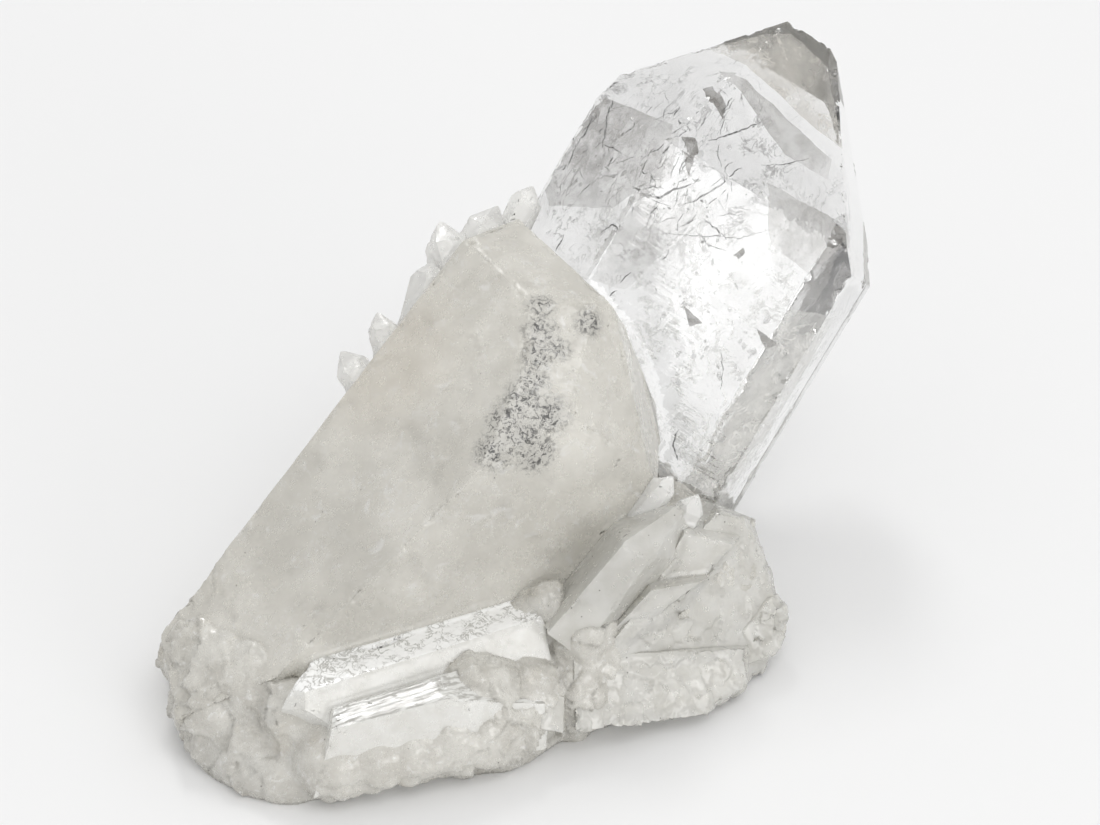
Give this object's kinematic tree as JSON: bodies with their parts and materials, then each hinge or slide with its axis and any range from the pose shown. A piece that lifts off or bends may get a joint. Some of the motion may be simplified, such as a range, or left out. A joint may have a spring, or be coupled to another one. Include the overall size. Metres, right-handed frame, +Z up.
{
  "type": "quartz crystal cluster",
  "caption": "Leaning cluster of quartz crystals: a clear six-sided point behind a frosted prism, with small points, on a broken quartz base",
  "frame": {"origin": "bottom centre of the bounding box, on the surface the cluster stands on", "axes": "+X to the right of the showing side, +Y to the back, +Z up"},
  "size_m": [0.1022, 0.0954, 0.0718],
  "materials": {
    "clear_quartz": "water clear, bright faces, grey wisps and dark flakes inside",
    "milky_quartz": "frosted and cloudy, faintly see-through, speckled worn faces",
    "matrix_quartz": "broken rough white quartz"
  },
  "bodies": {
    "root": {"main_clear_crystal": "clear_quartz", "front_milky_crystal": "milky_quartz", "low_side_crystal": "milky_quartz", "low_strip_crystal": "milky_quartz", "block_crystal": "milky_quartz", "right_point_a": "milky_quartz", "right_low_prism": "milky_quartz", "right_point_b": "milky_quartz", "right_tip_small": "clear_quartz", "right_tip_back": "clear_quartz", "right_lump": "milky_quartz", "right_ledge": "milky_quartz", "right_bump": "milky_quartz", "back_point_1": "clear_quartz", "back_point_2": "clear_quartz", "back_point_3": "clear_quartz", "back_point_4": "clear_quartz", "back_point_5": "clear_quartz", "back_point_6": "clear_quartz", "base_matrix": "matrix_quartz"}
  },
  "joints": []
}
